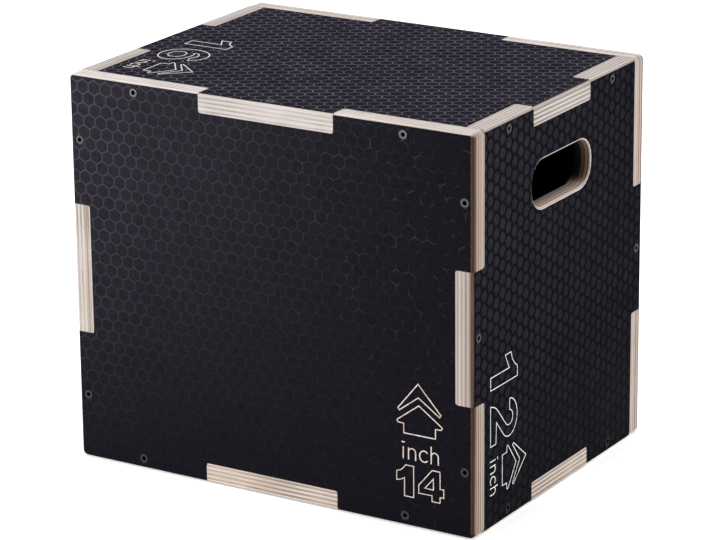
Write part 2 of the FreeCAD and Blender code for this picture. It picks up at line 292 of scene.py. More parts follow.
def scuff_and_painted_light_mask(tree):
    """How far the film turns to its second colours: by random patches all over the top, and on the other
    walls by painted light towards the upper left with faint scuff patches.
    """
    patch = tree.ramp(tree.noise(scale=38.0), *NOISE_SPAN)
    if tree.pair == "top":
        return patch
    leftwards = tree.ramp(tree.beside, *[WIDTH / 2 / MM * part for part in PAINTED_LIGHT_LEFTWARDS])
    upwards = tree.ramp(tree.above, *[HEIGHT / 2 / MM * part for part in PAINTED_LIGHT_UPWARDS])
    spread = tree.times(leftwards, upwards)
    faint_patch = tree.times(patch, SCUFF_PATCHES)
    if tree.pair == "right":
        return tree.math("ADD", tree.times(spread, SIDE_PAINTED_LIGHT), faint_patch)
    return tree.times(spread, tree.math("ADD", faint_patch, FRONT_PAINTED_LIGHT))


def side_film(tree, cell, crest):
    """Cell and ridge colours of the sides, with grooves and upper ridges painted near black as shade."""
    crest = tree.tint(crest, SIDE_RIDGE_SHADE, tree.above, start=-tree.half_up * 0.75, end=-tree.half_up * 0.3)
    cell = tree.mix(tree.ramp(tree.height, *GROOVE_SPAN_MM), crest, cell)
    return cell, crest


def front_painted_highlights(tree, cell, crest):
    """Ridge colour of the front: a painted highlight that fades away from the left edge, with painted glints
    towards the upper right.
    """
    fainter = tree.ramp(tree.beside, -tree.half_across, -tree.half_across / 2, high=0.4)
    crest = tree.mix(fainter, crest, cell)
    painted_glint = tree.ramp(tree.noise(scale=130.0, detail=2.0), start=0.52, end=0.68)
    rightwards = tree.ramp(tree.beside, -tree.half_across / 2, tree.half_across / 2, high=0.6)
    upwards = tree.ramp(tree.above, -tree.half_up / 2, tree.half_up / 2, low=0.35)
    return tree.mix(tree.times(painted_glint, tree.times(rightwards, upwards)), crest, FRONT_PAINTED_GLINT)


def film_material(wall):
    """Dark phenolic film: matt cells between ridges of another shade, with painted highlights, glints and
    shade by wall and place, and a brown cut edge.
    """
    tree = WallTree(wall, "anti_slip_film")
    scuff_and_light = scuff_and_painted_light_mask(tree)
    speck = tree.noise(scale=900.0, detail=2.0)
    stain = tree.noise(scale=260.0, detail=2.0)
    # Lit and shaded colours of this wall, mixed by painted light and scuff patches
    cell, crest = [tree.mix(scuff_and_light, shaded_dull, lit_scuffed) for shaded_dull, lit_scuffed in FILM_LIT_AND_SHADED_COLOURS[tree.pair]]
    cell = tree.tint(cell, CELL_DUST, speck, start=0.4, end=0.75, amount=0.4)
    cell = tree.tint(cell, CELL_STAIN, stain, start=0.42, end=0.7, amount=0.3)
    crest = tree.tint(crest, RIDGE_PIT, speck, start=0.45, end=0.2, amount=0.4)
    if tree.pair == "right":
        cell, crest = side_film(tree, cell, crest)
    if tree.pair == "front":
        crest = front_painted_highlights(tree, cell, crest)
    ridge = tree.ramp(tree.height, *RIDGE_SPAN_MM)
    colour = tree.tint(tree.mix(ridge, cell, crest), CUT_EDGE, tree.height, *CUT_EDGE_SPAN_MM)
    cell_roughness = tree.ramp(speck, *NOISE_SPAN, *FILM_ROUGHNESS)
    roughness = tree.math("ADD", cell_roughness, tree.times(ridge, RIDGE_ROUGHNESS))
    tree.bump(tree.noise(scale=1400.0), strength=0.25, distance=FINE_GRAIN)
    return tree.finish(colour, roughness, FILM_GLOSS)


def cell_centres(pitch, row, reach_x, reach_y):
    """Centres of a honeycomb that covers reach_x and reach_y to both sides of the middle."""
    rows = math.ceil(reach_y / row) + 1
    columns = math.ceil(reach_x / pitch) + 1
    for line in range(-rows, rows + 1):
        shift = pitch / 2 if line % 2 else 0
        for column in range(-columns, columns + 1):
            yield column * pitch + shift, line * row


def close_below(mesh):
    """Close an open sheet with a skirt and a flat underside, below the film."""
    rim = [edge for edge in mesh.edges if edge.is_boundary]
    skirt = bmesh.ops.extrude_edge_only(mesh, edges=rim)["geom"]
    for item in skirt:
        if isinstance(item, bmesh.types.BMVert):
            item.co.z = -2 * FILM_MM * MM
    low_rim = [item for item in skirt if isinstance(item, bmesh.types.BMEdge) and item.is_boundary]
    bmesh.ops.edgeloop_fill(mesh, edges=low_rim)
    bmesh.ops.recalc_face_normals(mesh, faces=mesh.faces)


def embossed_slab(half_across, half_up, along_up, phase):
    """A closed slab of hexagon cells between ridges, thicker and wider than the wall's film.

    Neighbouring cells follow each other across the wall, or up it where along_up is true.
    """
    pitch, row = HEX_PITCH_MM * MM, HEX_ROW_MM * MM
    reach = (half_up, half_across) if along_up else (half_across, half_up)
    rings = [
        (1 - 2 * RIDGE_SHOULDER_MM / HEX_PITCH_MM, SHOULDER_LEVEL_MM * MM),
        (1 - 2 * RIDGE_FOOT_MM / HEX_PITCH_MM, FOOT_LEVEL_MM * MM),
        (1 - 2 * PILLOW_MM / HEX_PITCH_MM, PILLOW_LEVEL_MM * MM),
    ]
    mesh = bmesh.new()
    crests = {}

    def vertex(x, y, height):
        across, up = (y, x) if along_up else (x, y)
        return mesh.verts.new((across + phase[0] * MM, up + phase[1] * MM, height))

    def crest_vertex(x, y):
        key = (round(x / MM, 2), round(y / MM, 2))
        if key not in crests:
            crests[key] = vertex(x, y, CREST_LEVEL_MM * MM)
        return crests[key]

    for x, y in cell_centres(pitch, row, *reach):
        ring = [crest_vertex(x + right * pitch, y + rise * row) for right, rise in HEX_CORNERS]
        for shrink, height in rings:
            inner = [
                vertex(x + right * pitch * shrink, y + rise * row * shrink, height)
                for right, rise in HEX_CORNERS
            ]
            for side in range(len(HEX_CORNERS)):
                after = (side + 1) % len(HEX_CORNERS)
                mesh.faces.new((ring[side], ring[after], inner[after], inner[side]))
            ring = inner
        mesh.faces.new(ring)
    close_below(mesh)
    return mesh


# Meshes and booleans

WELD = 1e-6
SLIVER = 2e-6


def new_object(name, mesh, matrix):
    """A Blender object from a bmesh that matrix takes to the frame."""
    mesh.transform(matrix)
    data = bpy.data.meshes.new(name)
    mesh.to_mesh(data)
    mesh.free()
    piece = bpy.data.objects.new(name, data)
    bpy.context.scene.collection.objects.link(piece)
    return piece


def welded_copy(node, name):
    """A watertight copy of a CAD node's mesh."""
    mesh = bmesh.new()
    mesh.from_mesh(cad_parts[node].data)
    bmesh.ops.remove_doubles(mesh, verts=mesh.verts, dist=WELD)
    return new_object(name, mesh, Matrix.Identity(4))


def carve(piece, tool, operation):
    """Add a boolean of piece and tool, to be applied later."""
    cut = piece.modifiers.new(operation.lower(), "BOOLEAN")
    cut.operation = operation
    cut.solver = "MANIFOLD"
    cut.object = tool


def apply_modifiers(piece, tools):
    """Bake the modifiers into the mesh, weld the slivers they leave and remove the objects they used."""
    graph = bpy.context.evaluated_depsgraph_get()
    data = bpy.data.meshes.new_from_object(piece.evaluated_get(graph))
    mesh = bmesh.new()
    mesh.from_mesh(data)
    bmesh.ops.triangulate(mesh, faces=mesh.faces)
    bmesh.ops.remove_doubles(mesh, verts=mesh.verts, dist=SLIVER)
    bmesh.ops.dissolve_degenerate(mesh, edges=mesh.edges, dist=SLIVER)
    mesh.to_mesh(data)
    mesh.free()
    piece.modifiers.clear()
    piece.data = data
    for tool in tools:
        bpy.data.objects.remove(tool)


# Marks: outlines in the units of a mark, with the reading direction first and up second

ROUND_STEP = math.radians(15)
# The lower edge of the flag of a one
LEVEL_FLAG = [(0.0, 0.475), (0.14, 0.51), (0.27, 0.58)]
STEEP_FLAG = [(0.0, 0.54), (0.14, 0.62), (0.27, 0.7)]
# The least cosine that a corner's mitre is made for
SHARPEST = 0.35


def arc(centre, radii, start, end):
    """Points on an ellipse from start to end, in degrees."""
    first, last = math.radians(start), math.radians(end)
    steps = max(2, math.ceil(abs(last - first) / ROUND_STEP))
    angles = [first + (last - first) * step / steps for step in range(steps + 1)]
    return [
        (centre[0] + radii[0] * math.cos(angle), centre[1] + radii[1] * math.sin(angle))
        for angle in angles
    ]


def digit_outlines(digit, stem, flag):
    """Closed outlines of a plain bold digit, one unit high.

    stem is the far side of a one's stem, and flag is the lower edge of its flag.
    """
    if digit == "1":
        shoulder = [(0.31, 1.0), (0.24, 0.9), (0.14, 0.81), (0.0, 0.765)]
        return [[(0.27, 0.0), (stem, 0.0), (stem, 1.0)] + shoulder + flag]
    if digit == "2":
        bowl = arc((0.385, 0.69), (0.345, 0.31), 175, -35)
        sweep = [(0.03, 0.11), (0.08, 0.205), (0.155, 0.285), (0.275, 0.395), (0.42, 0.525)]
        hollow = arc((0.385, 0.69), (0.135, 0.145), -40, 170)
        return [bowl + [(0.345, 0.22), (0.735, 0.2), (0.735, 0.0), (0.0, 0.0)] + sweep + hollow]
    if digit == "4":
        foot = [(0.46, 0.185), (0.46, 0.0), (0.74, 0.0), (0.74, 0.18)]
        arm = [(0.865, 0.18), (0.865, 0.445), (0.74, 0.445)]
        counter = [(0.215, 0.385), (0.51, 0.37), (0.51, 0.725)]
        return [[(0.0, 0.18)] + foot + arm + [(0.74, 0.99), (0.465, 0.99), (0.0, 0.435)], counter]
    hook = arc((0.42, 0.51), (0.44, 0.53), 38, 255)
    bowl = arc((0.43, 0.33), (0.41, 0.35), -90, 120)
    throat = arc((0.43, 0.63), (0.22, 0.19), 175, 42)
    return [hook + bowl + throat, arc((0.42, 0.34), (0.205, 0.18), 0, 345)]


def letter_strokes(letter):
    """Open strokes of a plain letter with an x-height of one, and how far on the next letter starts."""
    arch = arc((0.33, 0.62), (0.33, 0.33), 180, 0) + [(0.66, 0.0)]
    if letter == "i":
        return [[(0.0, 0.0), (0.0, 0.95)], [(-0.1, 1.4), (0.1, 1.4)]], 0.5
    if letter == "n":
        return [[(0.0, 0.0), (0.0, 0.95)], arch], 1.04
    if letter == "c":
        return [arc((0.42, 0.475), (0.42, 0.475), 48, 312)], 1.08
    return [[(0.0, 0.0), (0.0, 1.4)], arch], 0.0


def arrow_outlines():
    """An upward arrow under a chevron, about one unit wide, from the foot up."""
    left_eave = [(-0.51, 0.275), (-0.53, 0.245), (-0.5, 0.212), (-0.37, 0.205)]
    right_eave = [(0.37, 0.205), (0.5, 0.212), (0.53, 0.25), (0.51, 0.28)]
    body = [(-0.37, 0.0), (0.37, 0.0)] + right_eave + [(-0.015, 0.64)] + left_eave
    chevron = [(-0.47, 0.475), (-0.025, 0.81), (0.465, 0.475), (0.5, 0.52), (-0.03, 1.1), (-0.505, 0.52)]
    return [body, chevron]


def scaled(points, size, place):
    return [(place[0] + size[0] * right, place[1] + size[1] * up) for right, up in points]


def stroke_sides(points, closed, half):
    """The two sides of a stroke of constant width along a line of points."""
    count = len(points)
    left, right = [], []
    for index, point in enumerate(points):
        before = points[index - 1] if closed or index else None
        after = points[(index + 1) % count] if closed or index < count - 1 else None
        here = Vector(point)
        into = (here - Vector(before)).normalized() if before else None
        out = (Vector(after) - here).normalized() if after else None
        ahead = ((into or out) + (out or into)).normalized()
        normal = Vector((-ahead.y, ahead.x))
        leaving = out or into
        spread = half / max(normal.dot(Vector((-leaving.y, leaving.x))), SHARPEST)
        left.append(here + normal * spread)
        right.append(here - normal * spread)
    return left, right


def stroke_bar(points, closed, width, levels):
    """A closed bar along the stroke between two levels of the film."""
    half = width / 2
    if not closed:
        first, second = Vector(points[0]), Vector(points[1])
        last, previous = Vector(points[-1]), Vector(points[-2])
        start = first - (second - first).normalized() * half
        end = last + (last - previous).normalized() * half
        points = [tuple(start)] + points[1:-1] + [tuple(end)]
    mesh = bmesh.new()
    rails = [
        [mesh.verts.new((spot.x, spot.y, level)) for spot in side]
        for side in stroke_sides(points, closed, half)
        for level in levels
    ]
    order = [rails[0], rails[1], rails[3], rails[2]]
    count = len(points)
    for index in range(count if closed else count - 1):
        after = (index + 1) % count
        for near, far in zip(order, order[1:] + order[:1]):
            mesh.faces.new((near[index], near[after], far[after], far[index]))
    if not closed:
        mesh.faces.new([rail[0] for rail in order])
        mesh.faces.new([rail[-1] for rail in reversed(order)])
    bmesh.ops.recalc_face_normals(mesh, faces=mesh.faces)
    return mesh


# Where each mark lies on its wall, in millimetres from the middle of the wall, and which way it reads

UPRIGHT = Matrix.Identity(4)
READS_DOWN = Matrix.Rotation(math.radians(-90), 4, "Z")
TO_METRES = Matrix.Diagonal((MM, MM, MM, 1))
CUT_LINE_LEVELS_MM = (-FILM_MM, -0.1)
CUTTER_LEVELS_MM = (-2 * FILM_MM, FILM_MM)
DIGIT_FIELDS = "digit_line digits_at digit_size digit_steps stem flag"
ARROW_FIELDS = "arrow_line arrow_foot arrow_width"
WORD_FIELDS = "word_line word_at letter_size"
Mark = namedtuple("Mark", f"turn number {DIGIT_FIELDS} {ARROW_FIELDS} {WORD_FIELDS}")
MARKS = {
    "front": Mark(
        turn=UPRIGHT,
        number="14",
        digit_line=0.85,
        digits_at=(127.6, -150.8),
        digit_size=(28.4, 28.4),
        digit_steps=(0, 21.7),
        stem=0.59,
        flag=LEVEL_FLAG,
        arrow_line=0.95,
        arrow_foot=(150.4, -93.6),
        arrow_width=42,
        word_line=1.1,
        word_at=(134.2, -116.5),
        letter_size=(10.5, 10.5),
    ),
    "right": Mark(
        turn=READS_DOWN,
        number="12",
        digit_line=0.68,
        digits_at=(28.5, -123.5),
        digit_size=(49, 46.3),
        digit_steps=(0, 39),
        stem=0.5,
        flag=STEEP_FLAG,
        arrow_line=0.72,
        arrow_foot=(131.2, -103),
        arrow_width=37.8,
        word_line=0.88,
        word_at=(117.1, -123.7),
        letter_size=(9.3, 8.9),
    ),
    "top": Mark(
        turn=READS_DOWN,
        number="16",
        digit_line=1.1,
        digits_at=(-9.3, -173.7),
        digit_size=(46, 44.5),
        digit_steps=(0, 39.8),
        stem=0.54,
        flag=STEEP_FLAG,
        arrow_line=1.1,
        arrow_foot=(97.3, -152.5),
        arrow_width=38,
        word_line=1.25,
        word_at=(81, -174.6),
        letter_size=(8.8, 8.8),
    ),
}


def mark_strokes(mark):
    """Every stroke of one mark as (points, closed, width), in millimetres."""
    strokes = []
    for digit, step in zip(mark.number, mark.digit_steps):
        spot = (mark.digits_at[0] + step, mark.digits_at[1])
        for line in digit_outlines(digit, mark.stem, mark.flag):
            strokes.append((scaled(line, mark.digit_size, spot), True, mark.digit_line))
    arrow_size = (mark.arrow_width, mark.arrow_width)
    for line in arrow_outlines():
        strokes.append((scaled(line, arrow_size, mark.arrow_foot), True, mark.arrow_line))
    start, base = mark.word_at
    for letter in "inch":
        lines, advance = letter_strokes(letter)
        for line in lines:
            strokes.append((scaled(line, mark.letter_size, (start, base)), False, mark.word_line))
        start += advance * mark.letter_size[0]
    return strokes


def mark_solid(wall, name, levels):
    """All strokes of a wall's mark as one solid between two levels."""
    mark = MARKS[wall]
    matrix = wall_matrix(wall) @ mark.turn @ TO_METRES
    bars = [new_object(name, stroke_bar(*stroke, levels), matrix) for stroke in mark_strokes(mark)]
    first, *others = bars
    for other in others:
        carve(first, other, "UNION")
    apply_modifiers(first, others)
    return first


def make_cut_lines(wall, material):
    """The bare wood that the cut lines of a mark lay open, just below the ridges."""
    lines = mark_solid(wall, f"{wall}_cut_lines", CUT_LINE_LEVELS_MM)
    dress(lines.data, material)
    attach(lines, "root")


# Where the film is sanded through to the wood: a strip along one edge of a wall, and round the hand slots

SIDE_STRIP_MM = 3
TOP_STRIP_MM = 2.3
PAST_EDGE_MM = 1
SLOT_LENGTH_MM = 104
SLOT_HEIGHT_MM = 42
SLOT_CORNER_MM = 19
SLOT_DROP_MM = 71.6
SLOT_RIM_MM = 1.9


def prism(outline, levels):
    """A closed solid over an outline that runs counter-clockwise, between two levels."""
    mesh = bmesh.new()
    low, high = [[mesh.verts.new((x, y, level)) for x, y in outline] for level in levels]
    mesh.faces.new(list(reversed(low)))
    mesh.faces.new(high)
    for index in range(len(outline)):
        before = index - 1
        mesh.faces.new((low[before], low[index], high[index], high[before]))
    return mesh


def strip_outline(wall):
    """The sanded strip of a wall, in its own millimetres: at a front's right edge, or at a side's top."""
    half_across, half_up = half_size(wall)
    left, right = -half_across - PAST_EDGE_MM, half_across + PAST_EDGE_MM
    foot, head = -half_up - PAST_EDGE_MM, half_up + PAST_EDGE_MM
    if looks_like(wall) == "front":
        left = half_across - SIDE_STRIP_MM
    else:
        foot = half_up - TOP_STRIP_MM
    return [(left, foot), (right, foot), (right, head), (left, head)]


def slot_middle(half_up):
    """How far above the middle of a wall the middle of its hand slot lies, in millimetres."""
    return half_up - SLOT_DROP_MM


def rim_outline(wall):
    """The outline of the sanded rim round a hand slot, in the wall's own millimetres."""
    middle = slot_middle(half_size(wall)[1])
    radius = SLOT_CORNER_MM + SLOT_RIM_MM
    reach = SLOT_LENGTH_MM / 2 - SLOT_CORNER_MM
    rise = SLOT_HEIGHT_MM / 2 - SLOT_CORNER_MM
    outline = []
    for start, side, level in ((0, 1, 1), (90, -1, 1), (180, -1, -1), (270, 1, -1)):
        outline += arc((side * reach, middle + level * rise), (radius, radius), start, start + 90)
    return outline


def sanding_tool(wall, outline):
    """A throwaway solid over an outline on a wall."""
    return new_object(f"{wall}_sanding", prism(outline, CUTTER_LEVELS_MM), wall_matrix(wall) @ TO_METRES)


def make_sanded(wall, name, outline, material):
    """The part of a wall's film that is sanded through, as bare wood."""
    piece = welded_copy(f"{wall}_outer_film", name)
    tool = sanding_tool(wall, outline)
    carve(piece, tool, "INTERSECT")
    apply_modifiers(piece, [tool])
    dress(piece.data, material)
    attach(piece, "root")


def make_film(wall, wood, rim_wood):
    """The embossed film of a wall, with its mark cut through to the wood and its worn edges sanded."""
    half_across, half_up = half_size(wall)
    pair = looks_like(wall)
    phase, along_up = HONEYCOMBS[pair]
    film = welded_copy(f"{wall}_outer_film", f"{wall}_embossed_film")
    slab = embossed_slab(half_across * MM, half_up * MM, along_up, phase)
    emboss = new_object(f"{wall}_slab", slab, wall_matrix(wall))
    carve(film, emboss, "INTERSECT")
    cutters = []
    if wall in MARKS:
        cutters.append(mark_solid(wall, f"{wall}_cutter", CUTTER_LEVELS_MM))
    if pair != "top":
        strip = strip_outline(wall)
        make_sanded(wall, f"{wall}_sanded_edge", strip, wood)
        cutters.append(sanding_tool(wall, strip))
    if pair == "right":
        rim = rim_outline(wall)
        make_sanded(wall, f"{wall}_slot_rim", rim, rim_wood)
        cutters.append(sanding_tool(wall, rim))
    for cutter in cutters:
        carve(film, cutter, "DIFFERENCE")
    apply_modifiers(film, [emboss, *cutters])
    dress(film.data, film_material(wall))
    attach(film, "root")
    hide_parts(f"{wall}_outer_film")


# Plywood: veneers

VENEER_MM = 1.95
WAVE_MM = 0.7
FIBRE_SCALE = 1500.0
FIBRE_STRETCH = 0.02
SPLIT_STRETCH = 0.03
CROSS_GRAIN = 0.6
# The paler veneers of each wall, lighter or darker as painted light and shade for how light falls on it: dark
# fibres first and light fibres second
PALE_VENEERS_LIT_PER_WALL = {
    "front": (rgb(198, 190, 186), rgb(216, 209, 206)),
    "right": (rgb(174, 165, 158), rgb(197, 190, 184)),
    "top": (rgb(181, 174, 170), rgb(204, 198, 195)),
    "bottom": (rgb(198, 183, 169), rgb(218, 205, 192)),
}
CROSSED_VENEER = (rgb(135, 125, 119), rgb(155, 145, 139))
DULL_WOOD = rgb(164, 150, 141)
GLUE = rgb(100, 78, 62)
SPLIT = rgb(112, 82, 64)
DARK_CORE = rgb(126, 98, 84)
# How deep one darker veneer lies in the panels that have it
DARK_CORES_MM = {"back": 8.6, "left": 13.6}


def veneer_layers(tree, sway):
    """Where a veneer is crossed, and where a glue line runs."""
    wave = tree.times(tree.math("SUBTRACT", sway, 0.5), WAVE_MM)
    layers = tree.math("DIVIDE", tree.math("ADD", tree.depth, wave), VENEER_MM)
    turn = tree.math("SUBTRACT", tree.math("MODULO", layers, 2.0), 1.0)
    seam = tree.math("SUBTRACT", tree.math("FRACT", layers), 0.5)
    crossed = tree.ramp(tree.math("ABSOLUTE", turn), start=0.4, end=0.6)
    glue = tree.ramp(tree.math("ABSOLUTE", seam), start=0.43, end=0.49, high=0.35)
    return crossed, glue


def veneers(tree, fibre, cross_fibre, patch):
    """The wood of a panel's edges, and where its veneers are crossed."""
    sway = tree.noise(scale=14.0, detail=2.0)
    crossed, glue = veneer_layers(tree, sway)
    # Paler veneers painted lighter or darker for each wall
    pale = tree.blend(fibre, PALE_VENEERS_LIT_PER_WALL.get(tree.wall, PALE_VENEERS_LIT_PER_WALL[tree.pair]))
    contrast = tree.ramp(sway, start=0.35, end=0.65, low=0.3)
    wood = tree.mix(tree.times(crossed, contrast), pale, tree.blend(cross_fibre, CROSSED_VENEER))
    wood = tree.tint(wood, DULL_WOOD, patch, start=0.4, end=0.75, amount=0.35)
    wood = tree.mix(glue, wood, GLUE)
    streaky = tree.noise(scale=900.0, detail=1.0, stretch=stretched(tree.facing.out, 1.0, SPLIT_STRETCH))
    split = tree.ramp(streaky, start=0.68, end=0.76)
    wood = tree.mix(tree.times(split, crossed), wood, SPLIT)
    if tree.wall in DARK_CORES_MM:
        away = tree.math("ABSOLUTE", tree.math("SUBTRACT", tree.depth, DARK_CORES_MM[tree.wall]))
        wood = tree.tint(wood, DARK_CORE, away, start=1.2, end=0.5, amount=0.75)
    return wood, crossed


# Plywood: the cut ends of the panels

# How far from a panel's end its cut face begins to show, and where it is full
END_START_MM = 4
END_FULL_MM = 1
# How strongly the ends across each panel differ from its other edges
END_AMOUNTS = {"front": 0.75, "back": 0.6, "right": 0.3, "left": 0.12, "top": 0.5, "bottom": 0.3}
# Veneers of the ends, pale ones first and crossed ones second
TOASTED = (rgb(158, 131, 108), rgb(104, 79, 60))
BARE = (rgb(173, 157, 144), rgb(136, 117, 102))
SANDED = (rgb(176, 167, 164), rgb(130, 120, 116))
WORN = (rgb(158, 142, 134), rgb(138, 122, 114))
FRESH = (rgb(182, 170, 164), rgb(162, 148, 141))
# Painted light on the upward-facing lower side of a hand slot
LIT_SLOT_FLOOR = (rgb(216, 202, 194), rgb(184, 154, 134))
# Painted shade towards the right of the front and back panels
FRONT_PAINTED_SHADE = rgb(150, 134, 124)
SIDE_END = rgb(104, 88, 76)
TOP_END = rgb(108, 90, 76)
BOTTOM_END = rgb(112, 86, 66)
SLOT_SCORCH = rgb(104, 74, 54)
# Painted shade deep inside a hand slot
SLOT_PAINTED_SHADE = rgb(20, 15, 13)
# Depths between which ends turn from toasted to bare and from worn to fresh, a hand slot's painted light
# fades on its lower side, and elsewhere in it the wood turns scorched and then painted dark as shade
BARE_SPAN_MM = (6.0, 15.0)
FRESH_SPAN_MM = (7.0, 12.0)
LIT_SLOT_SPAN_MM = (15.0, 5.0)
SCORCH_SPAN_MM = (0.2, 2.2)
SLOT_SHADE_SPAN_MM = (2.5, 12.0)


def end_mask(tree, place, half, amount):
    """The cut faces of a panel where place is half, such as both ends where place is an absolute length."""
    return tree.ramp(place, half - END_START_MM, half - END_FULL_MM, high=amount)


def both_ends(tree):
    """The cut faces at the left and right of a panel."""
    return end_mask(tree, tree.math("ABSOLUTE", tree.beside), tree.half_across, END_AMOUNTS[tree.wall])


def front_ends(tree, wood, crossed):
    """The front and back panels: painted shade towards the right, and toasted near the face at both ends."""
    wood = tree.tint(wood, FRONT_PAINTED_SHADE, tree.beside, start=0.0, end=tree.half_across, amount=0.35)
    toasted = tree.mix(crossed, *TOASTED)
    bare = tree.mix(crossed, *BARE)
    return tree.mix(both_ends(tree), wood, tree.mix(tree.ramp(tree.depth, *BARE_SPAN_MM), toasted, bare))


def side_ends(tree, wood, crossed):
    """The side panels: sanded at the top, worn near the face at the left, and in the hand slot painted light
    on the lower side, and elsewhere scorch and then painted shade deeper in.
    """
    upper = end_mask(tree, tree.above, tree.half_up, amount=0.5)
    wood = tree.mix(upper, wood, tree.mix(crossed, *SANDED))
    wood = tree.mix(tree.times(both_ends(tree), crossed), wood, SIDE_END)
    left = end_mask(tree, tree.times(tree.beside, -1.0), tree.half_across, amount=0.65)
    worn = tree.mix(crossed, *WORN)
    fresh = tree.mix(crossed, *FRESH)
    wood = tree.mix(left, wood, tree.mix(tree.ramp(tree.depth, *FRESH_SPAN_MM), worn, fresh))
    # Painted light on the hand slot's lower side, then scorch, then painted shade deeper in on its upper side
    # and ends
    wood = tree.mix(slot_painted_light_mask(tree), wood, tree.mix(crossed, *LIT_SLOT_FLOOR))
    streaks = tree.ramp(crossed, start=0.0, end=1.0, low=1.0, high=0.65)
    wood = tree.mix(tree.times(slot_burn_and_shade_mask(tree, SCORCH_SPAN_MM), streaks), wood, SLOT_SCORCH)
    return tree.mix(slot_burn_and_shade_mask(tree, SLOT_SHADE_SPAN_MM), wood, SLOT_PAINTED_SHADE)


def level_ends(tree, wood, crossed):
    """The top and bottom panels: darker crossed veneers at the ends."""
    wood = tree.mix(tree.times(both_ends(tree), crossed), wood, TOP_END)
    if tree.wall == "bottom":
        front_and_back = end_mask(tree, tree.math("ABSOLUTE", tree.above), tree.half_up, amount=0.25)
        wood = tree.mix(tree.times(front_and_back, crossed), wood, BOTTOM_END)
    return wood


ENDS = {"front": front_ends, "right": side_ends, "top": level_ends}

# Half the length and half the height of the space that the masks of a hand slot fill
SLOT_MARGIN_MM = 1
SLOT_REACH_MM = SLOT_LENGTH_MM / 2 + SLOT_RIM_MM + SLOT_MARGIN_MM
SLOT_RISE_MM = SLOT_HEIGHT_MM / 2 + SLOT_RIM_MM + SLOT_MARGIN_MM


def above_slot(tree):
    """How far a point lies above the middle of a hand slot, in millimetres."""
    return tree.math("SUBTRACT", tree.above, slot_middle(tree.half_up))


def slot_mask(tree):
    """The space of a hand slot, all the way through the panel."""
    aside = tree.math("LESS_THAN", tree.math("ABSOLUTE", tree.beside), SLOT_REACH_MM)
    level = tree.math("LESS_THAN", tree.math("ABSOLUTE", above_slot(tree)), SLOT_RISE_MM)
    return tree.times(aside, level)


def slot_burn_and_shade_mask(tree, depths):
    """Scorch and painted shade that deepen into a hand slot between two depths, at its ends and on its
    downward-facing upper side.
    """
    upper = tree.ramp(above_slot(tree), start=-SLOT_RISE_MM * 0.8, end=SLOT_RISE_MM * 0.1)
    aside = tree.math("ABSOLUTE", tree.beside)
    ends = tree.ramp(aside, start=SLOT_REACH_MM * 0.7, end=SLOT_REACH_MM * 0.88)
    deep = tree.ramp(tree.depth, *depths)
    return tree.times(slot_mask(tree), tree.math("MAXIMUM", upper, ends), deep)


def slot_painted_light_mask(tree):
    """Painted light on the upward-facing lower side of a hand slot, palest near the outer face."""
    lower = tree.ramp(above_slot(tree), start=-SLOT_RISE_MM * 0.55, end=-SLOT_RISE_MM * 0.8, high=0.85)
    return tree.times(slot_mask(tree), lower, tree.ramp(tree.depth, *LIT_SLOT_SPAN_MM))


# Plywood: router burn on the rounded box edges

BURN_MM = 3.9
# How far from a wall's edge the burn begins and is full, and how far below its upper end it ends and is full
BURN_START_MM = 2 * BURN_MM
BURN_FULL_MM = 1.5 * BURN_MM
BURN_TOP_MM = 0.5
BURN_BELOW_MM = 3
# Strength of the burn on the round-overs at the left and right of a wall, and at its top and bottom
BURNS = {"front": (1.0, 0.95, 0.0), "right": (0.9, 0.05, 0.05), "top": (0.3, 0.3, 0.0)}
LOW_BURN = rgb(40, 24, 13)
HIGH_BURN = rgb(112, 80, 55)
BURN_STREAK = rgb(36, 22, 13)
FACE_BURN = rgb(56, 39, 27)
# Near black that the front's rounded edges take towards the left, and the dark at the front's foot
LEFT_EDGE_DARK = rgb(24, 18, 15)
FOOT_DARK = rgb(24, 18, 14)
# Depths between which the dark of the front's face and foot begins and ends, and the heights of its foot
FACE_BURN_SPAN_MM = (0.6, 2.6)
FOOT_BURN_SPAN_MM = (3.5, 2.5)
FOOT_HEIGHTS_MM = (6, 3)


def burn_mask(tree, fibre):
    """Router burn near the outer face, strong along the upright box edges and faint over the sides."""
    left, right, ends = BURNS[tree.pair]
    half_across, half_up = tree.half_across, tree.half_up
    taper = tree.ramp(tree.above, start=-half_up, end=0.0, low=0.62)
    near_face = tree.ramp(tree.math("DIVIDE", tree.depth, taper), start=BURN_MM, end=BURN_MM * 0.75)
    streaks = tree.ramp(fibre, start=0.2, end=0.6, low=0.75)
    at_left = tree.ramp(tree.beside, BURN_START_MM - half_across, BURN_FULL_MM - half_across, high=left)
    at_right = tree.ramp(tree.beside, half_across - BURN_START_MM, half_across - BURN_FULL_MM, high=right)
    from_middle = tree.math("ABSOLUTE", tree.above)
    at_ends = tree.ramp(from_middle, half_up - BURN_START_MM, half_up - BURN_FULL_MM, high=ends)
    amount = tree.math("MAXIMUM", tree.math("MAXIMUM", at_left, at_right), at_ends)
    below_top = tree.ramp(tree.above, half_up - BURN_TOP_MM, half_up - BURN_BELOW_MM)
    return tree.times(near_face, streaks, tree.times(amount, below_top))


